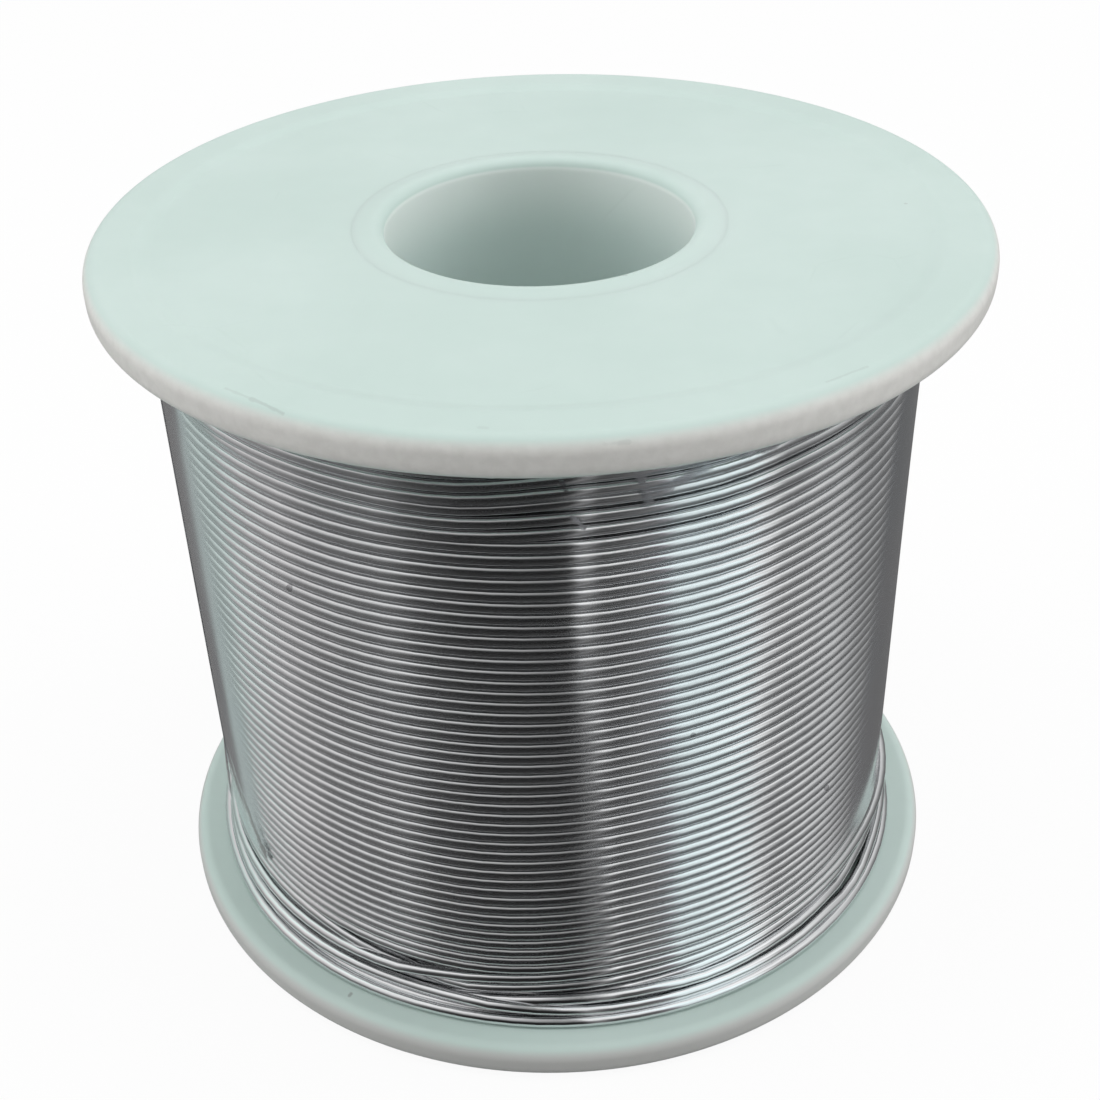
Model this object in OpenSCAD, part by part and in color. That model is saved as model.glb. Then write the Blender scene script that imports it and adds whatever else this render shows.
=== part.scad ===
// Solder wire spool: a plastic reel of three pieces, the solder wire wound on it and the clear film round the wire.
// +Z is the spindle axis. The origin is the centre of the face that the spool stands on. All sizes are in millimetres.

/* [Flanges] */
// Diameter of each flange
flange_d = 58; // [52:0.5:80]
// Thickness of each flange
flange_t = 2.6; // [2:0.1:4]
// Radius of the rounding along a flange's rim
rim_r = 1; // [0.3:0.1:1.2]
// Width of the raised border along a flange's rim, on its outer face
border_w = 3.2; // [2:0.1:5]
// Depth of the shallow face between that border and the tube
face_depth = 0.2; // [0.1:0.05:0.5]
// Width of the slope from the border down to the shallow face
slope_w = 0.5; // [0.2:0.1:1]

/* [Hub tube] */
// Height of the spool, which is the length of the tube
spool_h = 50; // [36:1:90]
// Diameter of the bore that a spindle passes through
bore_d = 20; // [12:0.5:22]
// Wall of the tube's ends, which pass through the flanges
spigot_wall = 1.9; // [1.2:0.1:3]
// Width of the shoulder that each flange seats against
shoulder_w = 1.2; // [0.6:0.1:3]
// Radius of the rounded lip at each end of the bore
lip_r = 0.8; // [0.2:0.1:1]
// Radius of the rounding round the outside of each tube end
tube_edge_r = 0.3; // [0.1:0.1:0.5]
// Clearance between a tube end and the hole in its flange
spigot_clearance = 0.05; // [0.02:0.01:0.15]

/* [Solder wire] */
// Diameter of the wire
wire_d = 0.8; // [0.6:0.1:1]
// How far the flanges stand out beyond the winding
fill_margin = 3.4; // [2:0.1:6]
// Loops that the outer layer is drawn with
loops = 24; // [10:1:24]
// How many of those lie loose on the lower flange
loose_loops = 3; // [1:1:4]
// Clear gap between the loose loops
loose_gap = 0.45; // [0.42:0.01:0.6]
// How far the loose loops stand out beyond the rest
loose_out = 0.3; // [0:0.05:0.6]
// Clearance between the wire and the flanges, the tube and the layer under it
wire_clearance = 0.06; // [0.04:0.01:0.15]
// Direction from the axis to where the outer layer starts and ends, in degrees
wire_end_angle = 90; // [0:5:355]

/* [Free end] */
// Length of the wire's free end
tail_l = 10; // [4:0.5:11]
// Diameter of the rosin flux inside the wire
flux_d = 0.3; // [0.2:0.05:0.4]
// Clearance between the flux and the wire
flux_clearance = 0.02; // [0.01:0.01:0.04]

/* [Film] */
// Thickness of the wrapped film
film_t = 0.1; // [0.05:0.05:0.3]
// Clearance between the winding and the film
film_clearance = 0.15; // [0.1:0.05:0.3]
// Clearance between the film and what is above and below it
film_edge_clearance = 0.3; // [0.2:0.1:1]
// Direction from the axis to the film's outer edge, in degrees
lap_edge_angle = 210; // [0:5:355]
// Angle over which the film laps over itself, in degrees
lap_angle = 60; // [20:5:120]

/* [Hidden] */
$fn = 96;

rings_per_loop = 24;
tube_sides = 6;
bend_steps = 5;
cut_over = 1;

flange_r = flange_d / 2;
bore_r = bore_d / 2;
spigot_r = bore_r + spigot_wall;
barrel_r = spigot_r + shoulder_w;
rim_fit = min(rim_r, flange_t / 2.2); // The rounding stays inside the flange's thickness
lip_fit = min(lip_r, spigot_wall / 2);
winding_lo = flange_t;
winding_hi = spool_h - flange_t;

wire_r = wire_d / 2;
winding_r = flange_r - fill_margin;
loop_r = winding_r - wire_r;
core_r = loop_r * cos(180 / rings_per_loop) - wire_r - wire_clearance;
loop_hi = winding_hi - wire_clearance - wire_r;
loop_lo = winding_lo + wire_clearance + wire_r;
main_loops = loops - loose_loops;
loose_pitch = wire_d + loose_gap;
loose_top = loop_lo + loose_loops * loose_pitch;
main_pitch = (loop_hi - loose_top) / main_loops;
end_r = loop_r + loose_out;

bend_r = wire_d;
socket_r = wire_r + wire_clearance;
socket_floor = loop_r - bend_r - wire_d;

film_r = winding_r + film_clearance;
film_lo = loose_top + wire_r + film_edge_clearance;
film_hi = winding_hi - film_edge_clearance;

// A square corner's waste outside a rounding of radius r. The corner is at the origin and the piece lies at -X, -Y.
module corner_waste(r) {
  difference() {
    translate([-r, -r]) square(r + cut_over);
    translate([-r, -r]) circle(r);
    translate([-r - cut_over, -r - cut_over]) square([cut_over, r + 2 * cut_over + cut_over]);
    translate([-r - cut_over, -r - cut_over]) square([r + 2 * cut_over + cut_over, cut_over]);
  }
}

// Half section of a flange with its outer face up, from the tube's hole to the rim.
module flange_section() {
  hole_r = spigot_r + spigot_clearance;
  face_r = flange_r - border_w;
  difference() {
    translate([hole_r, 0]) square([flange_r - hole_r, flange_t]);
    translate([flange_r, flange_t]) corner_waste(rim_fit);
    translate([flange_r, 0]) mirror([0, 1]) corner_waste(rim_fit);
    polygon([
      [0, flange_t - face_depth],
      [face_r - slope_w, flange_t - face_depth],
      [face_r, flange_t],
      [face_r, flange_t + cut_over],
      [0, flange_t + cut_over]
    ]);
  }
}

// The flange on top, which seats on the tube's upper shoulder.
module upper_flange() {
  color("#cfe0da")
    translate([0, 0, winding_hi])
      rotate_extrude() flange_section();
}

// The same flange turned over, on which the spool stands.
module lower_flange() {
  color("#cfe0da")
    translate([0, 0, flange_t]) mirror([0, 0, 1])
      rotate_extrude() flange_section();
}

// Half of the waste at the upper end of the tube: the rounded bore lip and the outer edge.
module tube_end_waste() {
  translate([bore_r, spool_h]) mirror([1, 0]) corner_waste(lip_fit);
  translate([spigot_r, spool_h]) corner_waste(tube_edge_r);
}

// The tube that carries the wire: a barrel between two thinner ends, each held in its flange.
module hub_tube() {
  color("#c6d8d2")
    rotate_extrude()
      difference() {
        union() {
          translate([bore_r, 0]) square([spigot_r - bore_r, spool_h]);
          translate([bore_r, winding_lo]) square([barrel_r - bore_r, winding_hi - winding_lo]);
        }
        tube_end_waste();
        translate([0, spool_h]) mirror([0, 1]) tube_end_waste();
      }
}

// The wound layers under the outer one, as one solid. The socket is where the wire climbs out of them.
module solder_inner_layers() {
  color("#9a9ea0")
    difference() {
      translate([0, 0, winding_lo]) cylinder(r = core_r, h = winding_hi - winding_lo);
      translate([0, 0, winding_lo - cut_over])
        cylinder(r = barrel_r + wire_clearance, h = winding_hi - winding_lo + 2 * cut_over);
      rotate([0, 0, wire_end_angle])
        translate([socket_floor, -bend_r, loop_hi])
          rotate([0, 90, 0]) cylinder(r = socket_r, h = core_r);
    }
}

// How far a loop's centre has come down after a number of loops.
function loop_z(turns) = turns <= main_loops
  ? loop_hi - main_pitch * turns
  : loose_top - loose_pitch * (turns - main_loops);

// A smooth step from 0 to 1 over the first half of the first loose loop.
function ease(x) = let(c = max(0, min(1, x))) c * c * (3 - 2 * c);

// The radius of a loop's centre line after a number of loops.
function loop_radius(turns) = loop_r + loose_out * ease(2 * (turns - main_loops));

// The centre line: straight out of the socket, a quarter bend, the loops, and a straight run up to the free end.
// Each entry is [point, direction], in a frame whose +X points at the wire's ends.
function socket_run() = [
  for (x = [socket_floor, loop_r - bend_r])
    [[x, -bend_r, loop_hi], [1, 0, 0]]
];
function socket_bend() = [
  for (i = [1 : bend_steps - 1])
    let(a = 90 * i / bend_steps)
      [[loop_r - bend_r + bend_r * sin(a), -bend_r * cos(a), loop_hi], [cos(a), sin(a), 0]]
];
function loop_run() = [
  for (k = [0 : loops * rings_per_loop])
    let(turns = k / rings_per_loop, a = 360 * turns, r = loop_radius(turns))
      [[r * cos(a), r * sin(a), loop_z(turns)], [-sin(a), cos(a), 0]]
];
function tail_run() = [[[end_r, wire_d, loop_lo], [0, 1, 0]]];
function wire_path() = concat(socket_run(), socket_bend(), loop_run(), tail_run());

// The corners of one ring of the tube, square to the path's direction.
function tube_ring(place) =
  let(side = cross(place[1], [0, 0, 1]))
    [for (j = [0 : tube_sides - 1])
      let(a = 360 * j / tube_sides)
        place[0] + wire_r * (cos(a) * side + sin(a) * [0, 0, 1])];

// The triangles of a closed tube of a number of rings.
function tube_faces(rings) = concat(
  [for (i = [0 : rings - 2]) for (j = [0 : tube_sides - 1])
    let(k = (j + 1) % tube_sides, a = i * tube_sides, b = a + tube_sides)
      each [[a + j, b + k, a + k], [a + j, b + j, b + k]]],
  [for (j = [1 : tube_sides - 2]) [0, j, j + 1]],
  let(last = (rings - 1) * tube_sides)
    [for (j = [1 : tube_sides - 2]) [last, last + j + 1, last + j]]
);

// The least clear gap between stretches of a path that lie half a loop or more apart.
function least_gap(path) = min([
  for (i = [0 : len(path) - 1 - rings_per_loop / 2])
    min([for (j = [i + rings_per_loop / 2 : len(path) - 1]) norm(path[i][0] - path[j][0])])
]) - wire_d;

// The outer layer: one unbroken wire that winds down the spool and ends on the lower flange.
module solder_outer_layer() {
  path = wire_path();
  echo(least_gap_mm = least_gap(path), rings = len(path));
  color("#b9bdbf")
    rotate([0, 0, wire_end_angle])
      polyhedron(
        points = [for (place = path) each tube_ring(place)],
        faces = tube_faces(len(path)),
        convexity = 10
      );
}

// Puts a piece at the end of the outer layer, pointing along the wire.
module at_wire_end() {
  rotate([0, 0, wire_end_angle])
    translate([end_r, wire_d, loop_lo])
      rotate([-90, 0, 0]) children();
}

// The free end of the wire, cut off square, with the flux's channel in it.
module solder_free_end() {
  color("#b9bdbf")
    at_wire_end()
      difference() {
        cylinder(d = wire_d, h = tail_l);
        translate([0, 0, -cut_over]) cylinder(d = flux_d + 2 * flux_clearance, h = tail_l + 2 * cut_over);
      }
}

// The rosin flux that fills the wire, seen at its cut end.
module flux_core() {
  color("#c98b2e")
    at_wire_end() cylinder(d = flux_d, h = tail_l);
}

// The clear film round the winding, with the end of the sheet lapped over its start.
module film_wrap() {
  color("#dfeaf0", 0.35)
    translate([0, 0, film_lo]) {
      difference() {
        cylinder(r = film_r + film_t, h = film_hi - film_lo);
        translate([0, 0, -cut_over]) cylinder(r = film_r, h = film_hi - film_lo + 2 * cut_over);
      }
      rotate([0, 0, lap_edge_angle - lap_angle])
        rotate_extrude(angle = lap_angle)
          translate([film_r + film_t / 2, 0]) square([1.5 * film_t, film_hi - film_lo]);
    }
}

hub_tube();
upper_flange();
lower_flange();
solder_inner_layers();
solder_outer_layer();
solder_free_end();
flux_core();
film_wrap();
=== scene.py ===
# %% [markdown]
# # A spool of solder wire
# This lesson dresses a finished CAD model. The model already has the right
# sizes; here each of its nodes gets a fine surface and a finish of its own.
# The spool is a plastic reel of three pieces, about 500 g of tin wire wound
# on it, and a clear film that keeps the wire clean.

# %% Load the frame
import math

import bpy
import numpy as np
from mathutils import Matrix, Vector


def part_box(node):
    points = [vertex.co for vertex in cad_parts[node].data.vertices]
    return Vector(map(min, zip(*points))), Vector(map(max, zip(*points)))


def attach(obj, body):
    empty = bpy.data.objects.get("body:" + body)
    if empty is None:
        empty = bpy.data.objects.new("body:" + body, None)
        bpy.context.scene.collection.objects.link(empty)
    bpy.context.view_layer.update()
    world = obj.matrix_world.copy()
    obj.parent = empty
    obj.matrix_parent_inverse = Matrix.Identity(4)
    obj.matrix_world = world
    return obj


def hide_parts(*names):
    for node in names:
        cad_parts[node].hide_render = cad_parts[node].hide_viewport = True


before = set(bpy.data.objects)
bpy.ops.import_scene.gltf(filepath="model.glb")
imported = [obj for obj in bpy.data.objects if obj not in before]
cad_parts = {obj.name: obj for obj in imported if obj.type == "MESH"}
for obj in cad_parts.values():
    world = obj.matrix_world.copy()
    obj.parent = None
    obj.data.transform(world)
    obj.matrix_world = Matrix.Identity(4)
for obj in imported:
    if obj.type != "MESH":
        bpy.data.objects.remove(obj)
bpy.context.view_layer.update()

MM = 0.001  # sizes below are in millimetres, as in the CAD source

# %% [markdown]
# ## The camera
# The camera stands in front of the spool and looks down at it by about a
# third of a right angle. It is made first, because every later choice is
# judged through it. Its turn is given as a look-at direction and three small
# corrections: a yaw, a pitch and a roll. A small upward lens shift keeps the
# spool's sides from leaning in too much.

# %% Place the camera
IMAGE_SIDE = 1100  # pixels
FOCAL_PIXELS = 1657.81
SHIFT_PIXELS = 110
VIEW_ELEVATION = math.radians(33.139)
DISTANCE = 122.1248 * MM
AIM_HEIGHT = 25 * MM
YAW, PITCH = -0.0014716, -0.071077
ROLL = math.radians(1.7078)
SENSOR = 36.0

cam_data = bpy.data.cameras.new("spool_camera")
cam = bpy.data.objects.new("spool_camera", cam_data)
bpy.context.scene.collection.objects.link(cam)
bpy.context.scene.camera = cam
cam_data.sensor_width = SENSOR
cam_data.lens = FOCAL_PIXELS / IMAGE_SIDE * SENSOR
cam_data.shift_y = SHIFT_PIXELS / IMAGE_SIDE
cam_data.clip_start = 0.01
aim = Vector((0, 0, AIM_HEIGHT))
back = Vector((0, -math.cos(VIEW_ELEVATION), math.sin(VIEW_ELEVATION)))
look = (-back).to_track_quat("-Z", "Y").to_matrix().to_4x4()
turn = (Matrix.Rotation(-YAW, 4, "Y") @ Matrix.Rotation(PITCH, 4, "X")
        @ Matrix.Rotation(-ROLL, 4, "Z"))
cam.matrix_world = Matrix.Translation(aim + back * DISTANCE) @ look @ turn
print("lens in mm:", round(cam_data.lens, 2), "shift:", cam_data.shift_y)

# %% [markdown]
# ## Sizes
# These are the sizes of the CAD source. The heights of the flanges are read
# from the frame, so a changed model still gets pieces that fit it.

# %% Name the sizes
low_box, high_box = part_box("lower_flange"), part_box("upper_flange")
SPOOL_H = high_box[1][2] / MM
FLANGE_R = high_box[1][0] / MM
WINDING_LO = low_box[1][2] / MM
WINDING_HI = high_box[0][2] / MM
FLANGE_T = SPOOL_H - WINDING_HI
BORE_R = 10.0
TUBE_END_R = 11.9
BARREL_R = 13.1
HOLE_R = TUBE_END_R
RIM_ROUND = 1.0
BORDER_W = 3.2
FACE_DEPTH = 0.2
STEP_OUT, STEP_IN = 0.2, 1.1  # how far the border's step reaches each way
LIP_R = 0.8
TUBE_PROUD = 0.2
WIRE_R = 0.4
LAYER_R = 25.2  # centre line of the outer layer of wire
CORE_R = 24.52  # crest of the layer under it
print("spool height", round(SPOOL_H, 2), "flange radius", round(FLANGE_R, 2))

# %% [markdown]
# ## Meshes from grids
# Nearly every surface here is a grid of points: one direction runs round the
# reel or along the wire, the other runs over the section. A grid needs only
# its points, and whether each direction closes on itself.

# %% Grid faces
def grid_quads(rows, columns, close_rows, close_columns):
    """Corner numbers of a grid's four-sided faces.

    Point (i, j) of the grid has the number i * columns + j. Each face takes
    the points (i, j), (i+1, j), (i+1, j+1) and (i, j+1), and the last row or
    column joins the first where the grid closes.
    """
    i = np.arange(rows if close_rows else rows - 1)
    j = np.arange(columns if close_columns else columns - 1)
    a, b = np.meshgrid(i, j, indexing="ij")
    a2, b2 = (a + 1) % rows, (b + 1) % columns
    corners = (a * columns + b, a2 * columns + b, a2 * columns + b2, a * columns + b2)
    return np.stack(corners, axis=-1).reshape(-1, 4)


# %% Put arrays into a mesh
def make_piece(name, points, quads, triangles=None, uv=None):
    """An object at the origin from points in millimetres and faces.

    The faces' signed volume is a sixth of the sum of a . (b x c) over their
    corners. It is negative when the faces point inwards, and then the order
    of every face's corners is turned round. uv has one pair for each point.
    """
    points = points.reshape(-1, 3)
    triangles = np.zeros((0, 3), int) if triangles is None else np.asarray(triangles)
    a, b, c, d = (points[quads[:, k]] for k in range(4))
    volume = np.einsum("ij,ij->", a, np.cross(b, c) + np.cross(c, d))
    if len(triangles):
        a, b, c = (points[triangles[:, k]] for k in range(3))
        volume += np.einsum("ij,ij->", a, np.cross(b, c))
    if volume < 0:
        quads, triangles = quads[:, ::-1], triangles[:, ::-1]
    mesh = bpy.data.meshes.new(name)
    corners = np.concatenate([quads.ravel(), triangles.ravel()]).astype(np.int32)
    counts = np.concatenate([np.full(len(quads), 4), np.full(len(triangles), 3)])
    starts = np.concatenate([[0], np.cumsum(counts)[:-1]]).astype(np.int32)
    mesh.vertices.add(len(points))
    mesh.vertices.foreach_set("co", (points * MM).astype(np.float32).ravel())
    mesh.loops.add(len(corners))
    mesh.loops.foreach_set("vertex_index", corners)
    mesh.polygons.add(len(counts))
    mesh.polygons.foreach_set("loop_start", starts)
    mesh.polygons.foreach_set("use_smooth", np.ones(len(counts), bool))
    if uv is not None:
        layer = mesh.uv_layers.new(name="UVMap")
        layer.data.foreach_set("uv", uv[corners].astype(np.float32).ravel())
    mesh.update(calc_edges=True)
    mesh.validate()
    piece = bpy.data.objects.new(name, mesh)
    bpy.context.scene.collection.objects.link(piece)
    print(f"{name}: {len(points)} points, {2 * len(quads) + len(triangles)} triangles")
    return piece


# %% Points round the axis
def once_round(count):
    """Even angles once round, from 0."""
    return np.linspace(0, 2 * np.pi, count, endpoint=False)


def around(r, z, angle):
    """Points (r cos a, r sin a, z) at radius r, height z and angle a."""
    r, z, angle = np.broadcast_arrays(r, z, angle)
    return np.stack([r * np.cos(angle), r * np.sin(angle), z], axis=-1)


def smooth_step(x):
    """0 below 0, 1 above 1, and 3x^2 - 2x^3 between them."""
    x = np.clip(x, 0, 1)
    return x * x * (3 - 2 * x)


print("round helpers ready")

# %% Turned sections
SAME_POINT = 1e-4  # points closer than this, in millimetres, count as one


def arc(centre_r, centre_z, radius, start, end, count):
    """Points of an arc in the (radius, height) plane; angles in degrees."""
    a = np.radians(np.linspace(start, end, count))
    return np.stack([centre_r + radius * np.cos(a), centre_z + radius * np.sin(a)], -1)


def run(start, end, edge=0.12, count=2):
    """A straight run with one more point close to each end.

    Smooth shading blends a face's direction over its whole width. The extra
    points keep that blend to a narrow strip beside each corner.
    """
    start, end = np.array(start, float), np.array(end, float)
    near = min(0.4, edge / np.linalg.norm(end - start))
    share = np.concatenate([[0], np.linspace(near, 1 - near, count), [1]])
    return start + share[:, None] * (end - start)


def turned(section, segments=256):
    """A closed section carried round the Z axis.

    A section point (r, z) at angle a lands at (r cos a, r sin a, z).
    """
    points = around(section[:, 0], section[:, 1], once_round(segments)[:, None])
    return points, grid_quads(segments, len(section), True, True)


def joined(*parts):
    """Section parts in one list, without the points that repeat."""
    points = np.concatenate(parts)
    keep = np.ones(len(points), bool)
    keep[1:] = np.linalg.norm(np.diff(points, axis=0), axis=1) > SAME_POINT
    keep[-1] &= np.linalg.norm(points[0] - points[-1]) >= SAME_POINT
    return points[keep]


print("helpers ready")

# %% [markdown]
# ## The two flanges
# A flange is a moulded disc with a hole for the tube. Its outer face sinks
# by 0.2 mm inside a raised border, so that the reel stands on the border
# alone. It could be a cylinder with bevels, but a turned section gives the
# soft step and the round rim exactly and keeps the faces in tidy rings.

# %% The flange's section
def flange_section():
    """Half section with the outer face up, from the hole to the rim.

    The step from the border down to the face is a smooth step, which leaves
    both levels without a crease, as a worn mould does.
    """
    border = FLANGE_R - BORDER_W
    step_out, step_in = border + STEP_OUT, border - STEP_IN
    x = np.linspace(0, 1, 9)
    step = np.stack([step_out + (step_in - step_out) * x,
                     FLANGE_T - FACE_DEPTH * smooth_step(x)], -1)
    rim = FLANGE_R - RIM_ROUND
    face = FLANGE_T - FACE_DEPTH
    lip = 0.02
    return joined(
        arc(HOLE_R + lip, lip, lip, 180, 270, 4),
        run([HOLE_R + lip, 0], [rim, 0], count=5),
        arc(rim, RIM_ROUND, RIM_ROUND, -90, 0, 12),
        run([FLANGE_R, RIM_ROUND], [FLANGE_R, FLANGE_T - RIM_ROUND]),
        arc(rim, FLANGE_T - RIM_ROUND, RIM_ROUND, 0, 90, 12),
        run([rim, FLANGE_T], [step_out, FLANGE_T]),
        step,
        run([step_in, face], [HOLE_R + lip, face], count=5),
        arc(HOLE_R + lip, face - lip, lip, 90, 180, 4),
        run([HOLE_R, face - lip], [HOLE_R, lip], edge=0.05),
    )


section = flange_section()
print("flange section:", len(section), "points")

# %% Turn both flanges
upper_flange = make_piece("upper_flange_moulding", *turned(section + [0, WINDING_HI]))
lower_flange = make_piece("lower_flange_moulding",
                          *turned(section * [1, -1] + [0, WINDING_LO]))

# %% [markdown]
# ## The hub tube
# The tube carries the wire and turns on a spindle. Its two ends are thinner,
# pass through the flanges and stand 0.2 mm proud of their faces, which is
# the ring that shows round the bore.

# %% The tube's section
def tube_end():
    """From the barrel's shoulder up over the end and into the bore.

    The end's outer edge falls to the flange's face in a smooth step. It
    spreads over the hole's edge by 0.4 mm and ends just under the face, as
    the welded joint does, which leaves no crack.
    """
    lip, spread, edge_w, sunk = LIP_R, 0.4, 1.5, 0.008
    x = np.linspace(0, 1, 11)
    fall = (TUBE_PROUD + sunk) * (1 - smooth_step(x))
    edge = np.stack([TUBE_END_R + spread - edge_w * x, SPOOL_H - fall], -1)
    return joined(
        run([BARREL_R, WINDING_HI], [TUBE_END_R, WINDING_HI], edge=0.05),
        run([TUBE_END_R, WINDING_HI], [TUBE_END_R, SPOOL_H - TUBE_PROUD - 0.1], edge=0.05),
        edge,
        run(edge[-1], [BORE_R + lip, SPOOL_H], edge=0.05),
        arc(BORE_R + lip, SPOOL_H - lip, lip, 90, 180, 12),
    )


upper_end = tube_end()
lower_end = upper_end[::-1] * [1, -1] + [0, SPOOL_H]
tube_section = joined(upper_end, run([BORE_R, SPOOL_H - LIP_R], [BORE_R, LIP_R], count=9),
                      lower_end, run(lower_end[-1], upper_end[0], count=3))
hub_tube = make_piece("hub_tube_moulding", *turned(tube_section))

# %% [markdown]
# ## The wire's course
# The wire is one round strand in 49 close turns, and then seven loose ones
# that lie in a heap on the lower flange and end behind the reel. A close turn
# isn't a plain screw thread: it runs level on the left, climbs by a wire's
# thickness in front and falls by two behind, as the guide of a winding
# machine lays it. A winding could be a curve with a bevel, but then the
# closest turns are hard to steer. Here the centre line is worked out in
# cylinder terms: a height and a radius for each number of turns.

# %% Where the wire passes
FIRST_TURN, LAST_TURN = 1.0, 57.0
# Heights of a few close turns at eight angles round the reel, left to right.
# Angles are in degrees: 180 is the left side, 270 the front, 0 the right.
GUIDE_ANGLES = np.array([200, 240, 255, 275, 284, 293, 306, 320])
GUIDE_TURNS = [1, 4, 6, 7, 11, 19, 27, 49]
GUIDE_HEIGHTS = np.array([
    (45.90, 45.84, 45.80, 46.48, 46.56, 46.62, 46.90, 46.92),
    (43.52, 43.43, 43.38, 43.98, 44.00, 44.10, 44.46, 44.52),
    (41.93, 41.88, 41.82, 42.15, 42.24, 42.30, 42.60, 42.74),
    (41.07, 41.04, 41.12, 41.20, 41.31, 41.38, 41.70, 41.93),
    (37.75, 37.70, 37.83, 37.89, 38.00, 38.07, 38.36, 38.56),
    (31.25, 31.18, 31.36, 31.50, 31.68, 31.79, 32.02, 32.13),
    (24.70, 24.63, 24.80, 25.13, 25.37, 25.49, 25.65, 25.78),
    (6.85, 6.74, 6.68, 7.24, 7.58, 7.69, 7.79, 7.88),
])
# Where the loose turns pass, as (turns, radius, height), chosen so that
# neighbours lie about one wire apart. Turn n.0 is behind the reel, n.25 on
# its left, n.5 in front and n.75 on its right.
LOOSE = np.array([
    (50.306, 25.2, 6.05), (50.369, 25.2, 5.97), (50.397, 25.18, 5.58),
    (50.414, 25.0, 5.08), (50.43, 24.8, 4.7), (50.44, 24.82, 4.48),
    (50.453, 25.08, 4.45), (50.472, 25.2, 4.8), (50.494, 25.2, 5.14),
    (50.517, 25.2, 5.38), (50.539, 25.2, 5.65), (50.561, 25.2, 5.82),
    (50.592, 25.2, 6.02), (50.614, 25.2, 6.1), (50.65, 25.3, 6.12), (50.75, 25.9, 6.0),
    (51.0, 25.9, 5.42), (51.2, 25.75, 4.9), (51.306, 25.5, 4.55), (51.335, 25.38, 4.45),
    (51.369, 25.4, 4.6), (51.397, 25.42, 4.73), (51.414, 25.62, 5.12),
    (51.428, 25.55, 5.15), (51.439, 25.36, 5.27), (51.45, 25.22, 5.38),
    (51.472, 25.2, 5.77), (51.494, 25.2, 6.08), (51.517, 25.2, 6.38),
    (51.539, 25.2, 6.64), (51.561, 25.2, 6.77), (51.592, 25.2, 6.91),
    (51.614, 25.2, 6.97), (51.65, 25.2, 6.97), (51.75, 25.18, 6.7), (52.0, 25.1, 5.25),
    (52.2, 24.95, 4.1), (52.306, 24.85, 3.85), (52.4, 24.75, 3.85),
    (52.472, 24.75, 3.95), (52.494, 24.95, 3.97), (52.517, 25.02, 4.22),
    (52.539, 25.1, 4.54), (52.561, 25.2, 4.82), (52.592, 25.2, 5.12),
    (52.614, 25.2, 5.25), (52.65, 25.2, 5.27), (52.75, 25.2, 5.0), (53.0, 24.92, 3.85),
    (53.2, 24.92, 3.12), (53.306, 24.92, 3.02), (53.44, 24.92, 3.1),
    (53.458, 25.05, 3.45), (53.472, 25.35, 3.76), (53.494, 25.72, 4.33),
    (53.517, 25.76, 4.43), (53.539, 25.84, 4.57), (53.561, 25.84, 4.38),
    (53.592, 25.75, 4.5), (53.614, 25.7, 4.6), (53.631, 25.62, 4.64),
    (53.65, 25.5, 4.38), (53.666, 25.32, 4.45), (53.75, 25.42, 4.35),
    (53.86, 25.74, 4.42), (54.0, 25.42, 4.42), (54.2, 25.65, 3.95),
    (54.306, 25.78, 3.78), (54.331, 25.87, 3.76), (54.368, 25.88, 3.76),
    (54.4, 25.76, 3.74), (54.428, 25.62, 3.74), (54.451, 25.7, 3.76),
    (54.458, 25.82, 3.84), (54.472, 26.1, 3.94), (54.494, 26.1, 3.74),
    (54.517, 26.1, 3.58), (54.561, 26.1, 3.55), (54.614, 26.12, 3.62),
    (54.631, 26.08, 3.7), (54.65, 26.15, 3.49), (54.662, 26.15, 3.6),
    (54.675, 26.0, 3.7), (54.7, 25.9, 3.85), (54.75, 26.05, 3.75), (54.86, 26.32, 3.72),
    (55.0, 26.25, 4.56), (55.15, 26.4, 3.92), (55.25, 26.3, 3.1), (55.306, 26.24, 3.0),
    (55.348, 26.4, 3.0), (55.4, 26.51, 3.0), (55.45, 26.45, 3.0), (55.494, 26.52, 3.0),
    (55.561, 26.58, 3.0), (55.614, 26.54, 3.0), (55.678, 26.43, 3.0),
    (55.75, 26.1, 3.0), (55.86, 25.75, 3.02), (56.0, 25.95, 3.8), (56.12, 25.88, 3.5),
    (56.22, 25.66, 3.03), (56.306, 25.6, 3.0), (56.37, 25.66, 3.0), (56.4, 25.76, 3.0),
    (56.453, 25.8, 3.0), (56.472, 25.76, 3.0), (56.494, 25.45, 3.0),
    (56.517, 25.15, 3.0), (56.85, 24.95, 3.0), (57.0, 25.5, 3.06),
])
print("close turns:", GUIDE_TURNS[-1], "places of the loose turns:", len(LOOSE))


# %% The curve between the places
def smooth_through(x, knots, values):
    """A smooth curve through the knots that never swings past one.

    Each piece is a Hermite cubic. The slope at a knot is the harmonic mean
    2ab / (a + b) of the slopes a and b on its two sides, and 0 at a turning
    point.
    """
    secant = np.diff(values) / np.diff(knots)
    product = secant[1:] * secant[:-1]
    total = np.where(product > 0, secant[1:] + secant[:-1], 1)
    slope = np.zeros(len(values))
    slope[1:-1] = 2 * np.maximum(product, 0) / total
    k = np.clip(np.searchsorted(knots, x, side="right") - 1, 0, len(knots) - 2)
    h = knots[k + 1] - knots[k]
    s = (x - knots[k]) / h
    return ((2 * s**3 - 3 * s**2 + 1) * values[k] + (s**3 - 2 * s**2 + s) * h * slope[k]
            + (3 * s**2 - 2 * s**3) * values[k + 1] + (s**3 - s**2) * h * slope[k + 1])


print("curve ready")

# %% How far from round the winding is
LEFT_SET, RIGHT_SET, RIGHT_MORE = 0.23, 0.38, 0.37
SET_FROM, SET_OVER = 5, 4  # height where it sets in, and over which it grows


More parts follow.
